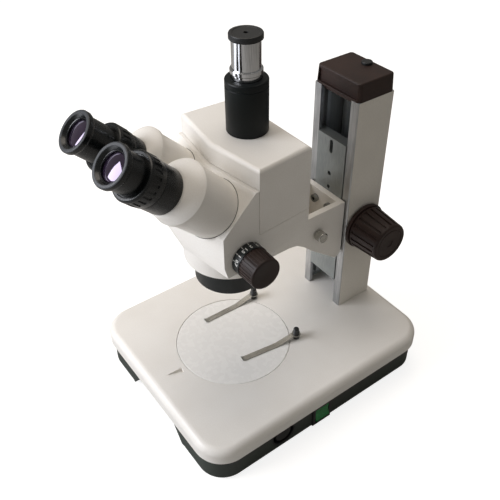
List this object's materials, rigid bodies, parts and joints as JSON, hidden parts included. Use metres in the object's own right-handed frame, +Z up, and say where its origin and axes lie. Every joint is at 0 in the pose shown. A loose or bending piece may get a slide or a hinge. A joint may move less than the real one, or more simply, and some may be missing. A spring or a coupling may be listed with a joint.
{
  "type": "trinocular stereo microscope",
  "caption": "Trinocular zoom stereo microscope with a vertical camera tube, inclined eyepieces, rack-and-pinion focus on a channel pillar, and a lit base with stage clips.",
  "frame": {"origin": "on the bench plane, straight below the middle of the round stage plate", "axes": "+Z up, -Y towards the user at the eyepieces, +X to the user's right"},
  "size_m": [0.2254, 0.304, 0.38],
  "materials": {
    "white_enamel": "satin",
    "pillar_finish": "satin",
    "stage_white": "gloss",
    "tray_plastic": "matte",
    "foot_rubber": "matte",
    "zinc_steel": "satin",
    "stainless_blade": "satin",
    "cover_screw_steel": "satin",
    "grey_anodised": "satin",
    "bare_aluminium": "satin",
    "polished_reflector": "gloss",
    "bush_brass": "satin",
    "bright_chrome": "mirror",
    "black_anodised": "satin",
    "brown_plastic": "satin",
    "black_plastic": "satin",
    "green_rocker": "gloss",
    "board_laminate": "satin",
    "coated_glass": "gloss"
  },
  "bodies": {
    "stand": {"base_cover": "white_enamel", "base_tray": "tray_plastic", "rubber_feet": "foot_rubber", "base_fasteners": "zinc_steel", "lamp_heatsink": "bare_aluminium", "lamp_board": "board_laminate", "lamp_reflector": "polished_reflector", "power_board": "board_laminate", "power_inlet": "black_plastic", "dimmer_cup": "black_plastic", "dimmer_can": "black_plastic", "switch_housing": "black_plastic", "pillar": "pillar_finish", "pillar_cap": "brown_plastic", "cap_plug": "black_plastic", "guide_rails": "bare_aluminium", "shaft_bushes": "bush_brass"},
    "stage_disc": {"stage_plate": "stage_white"},
    "clip_left": {"clip_post_left": "black_plastic", "clip_blade_left": "stainless_blade"},
    "clip_right": {"clip_post_right": "black_plastic", "clip_blade_right": "stainless_blade"},
    "rocker": {"rocker_button": "green_rocker"},
    "dimmer": {"dimmer_knob": "black_plastic"},
    "carriage": {"slide_plate": "grey_anodised", "focus_rack": "zinc_steel", "arm_bracket": "white_enamel", "bracket_screws": "zinc_steel"},
    "focus_drive": {"pinion_shaft": "zinc_steel", "focus_knobs": "brown_plastic"},
    "lock": {"lock_screw": "bright_chrome"},
    "head": {"main_body": "white_enamel", "upper_cover": "white_enamel", "cover_screws": "cover_screw_steel", "objective_shroud": "black_anodised", "objective_lenses": "coated_glass", "guide_rods": "zinc_steel", "beam_splitter": "coated_glass", "photo_tube": "black_anodised", "drum_left": "white_enamel", "drum_right": "white_enamel"},
    "zoom_drive": {"zoom_shaft": "zinc_steel", "zoom_dials": "black_plastic", "zoom_knobs": "brown_plastic"},
    "zoom_carriage": {"zoom_carrier": "bare_aluminium", "zoom_lenses": "coated_glass"},
    "camera_tube": {"photo_sleeve": "bright_chrome"},
    "cap": {"dust_cap": "black_plastic"},
    "ocular_left": {"prism_housing_left": "white_enamel", "prism_left": "coated_glass", "eye_tube_left": "black_anodised"},
    "ring_left": {"diopter_ring_left": "black_anodised"},
    "lens_left": {"eyepiece_left": "black_anodised", "eye_lens_left": "coated_glass"},
    "ocular_right": {"prism_housing_right": "white_enamel", "prism_right": "coated_glass", "eye_tube_right": "black_anodised"},
    "ring_right": {"diopter_ring_right": "black_anodised"},
    "lens_right": {"eyepiece_right": "black_anodised", "eye_lens_right": "coated_glass"}
  },
  "joints": [
    {"name": "plate_turn", "type": "hinge", "parent": "stand", "child": "stage_disc", "pos_m": [0, 0, 0.0495], "axis": [0, 0, 1], "continuous": true},
    {"name": "clip_left_swing", "type": "hinge", "parent": "stand", "child": "clip_left", "pos_m": [-0.038, 0.055, 0.0495], "axis": [0, 0, 1], "range_deg": [-70, 15]},
    {"name": "clip_right_swing", "type": "hinge", "parent": "stand", "child": "clip_right", "pos_m": [0.038, 0.055, 0.0495], "axis": [0, 0, 1], "range_deg": [-15, 70]},
    {"name": "rocker_tip", "type": "hinge", "parent": "stand", "child": "rocker", "pos_m": [0.106, 0.031, 0.0174], "axis": [0, 1, 0], "range_deg": [0, 14]},
    {"name": "dimmer_turn", "type": "hinge", "parent": "stand", "child": "dimmer", "pos_m": [0.104, -0.0175, 0.0207], "axis": [1, 0, 0], "range_deg": [-135, 135]},
    {"name": "focus_slide", "type": "slide", "parent": "stand", "child": "carriage", "axis": [0, 0, 1], "range_m": [-0.03, 0.04]},
    {"name": "focus_turn", "type": "hinge", "parent": "stand", "child": "focus_drive", "pos_m": [0, 0.145, 0.1555], "axis": [1, 0, 0], "range_deg": [-330, 250]},
    {"name": "lock_turn", "type": "hinge", "parent": "carriage", "child": "lock", "pos_m": [0.03, 0.0875, 0.1675], "axis": [1, 0, 0], "range_deg": [-90, 90]},
    {"name": "head_turn", "type": "hinge", "parent": "carriage", "child": "head", "pos_m": [0, 0, 0.1875], "axis": [0, 0, 1], "range_deg": [-120, 120]},
    {"name": "zoom_turn", "type": "hinge", "parent": "head", "child": "zoom_drive", "pos_m": [0, -0.0218, 0.2165], "axis": [1, 0, 0], "range_deg": [0, 140]},
    {"name": "zoom_lift", "type": "slide", "parent": "head", "child": "zoom_carriage", "axis": [0, 0, 1], "range_m": [0, 0.012]},
    {"name": "camera_tube_slide", "type": "slide", "parent": "head", "child": "camera_tube", "axis": [0, 0, 1], "range_m": [-0.0035, 0.02]},
    {"name": "cap_pull", "type": "slide", "parent": "camera_tube", "child": "cap", "axis": [0, 0, 1], "range_m": [0, 0.008]},
    {"name": "ocular_right_turn", "type": "hinge", "parent": "head", "child": "ocular_right", "pos_m": [0.03097, -0.0624, 0.28372], "axis": [0.037, -0.7061, 0.7071], "range_deg": [-30, 75]},
    {"name": "ring_right_turn", "type": "hinge", "parent": "ocular_right", "child": "ring_right", "pos_m": [0.02794, -0.09258, 0.30606], "axis": [0.037, -0.7061, 0.7071], "range_deg": [-120, 120]},
    {"name": "eyepiece_right_pull", "type": "slide", "parent": "ocular_right", "child": "lens_right", "axis": [0.037, -0.7061, 0.7071], "range_m": [0, 0.03]},
    {"name": "ocular_left_turn", "type": "hinge", "parent": "head", "child": "ocular_left", "pos_m": [-0.03097, -0.0624, 0.28372], "axis": [-0.037, -0.7061, 0.7071], "range_deg": [-75, 30]},
    {"name": "ring_left_turn", "type": "hinge", "parent": "ocular_left", "child": "ring_left", "pos_m": [-0.02794, -0.09258, 0.30606], "axis": [-0.037, -0.7061, 0.7071], "range_deg": [-120, 120]},
    {"name": "eyepiece_left_pull", "type": "slide", "parent": "ocular_left", "child": "lens_left", "axis": [-0.037, -0.7061, 0.7071], "range_m": [0, 0.03]}
  ],
  "couplings": [
    {"joint": "focus_turn", "follows": "focus_slide", "rad_per_m": -142.86},
    {"joint": "zoom_lift", "follows": "zoom_turn", "m_per_rad": 0.0049},
    {"joint": "ocular_left_turn", "follows": "ocular_right_turn", "ratio": -1}
  ]
}
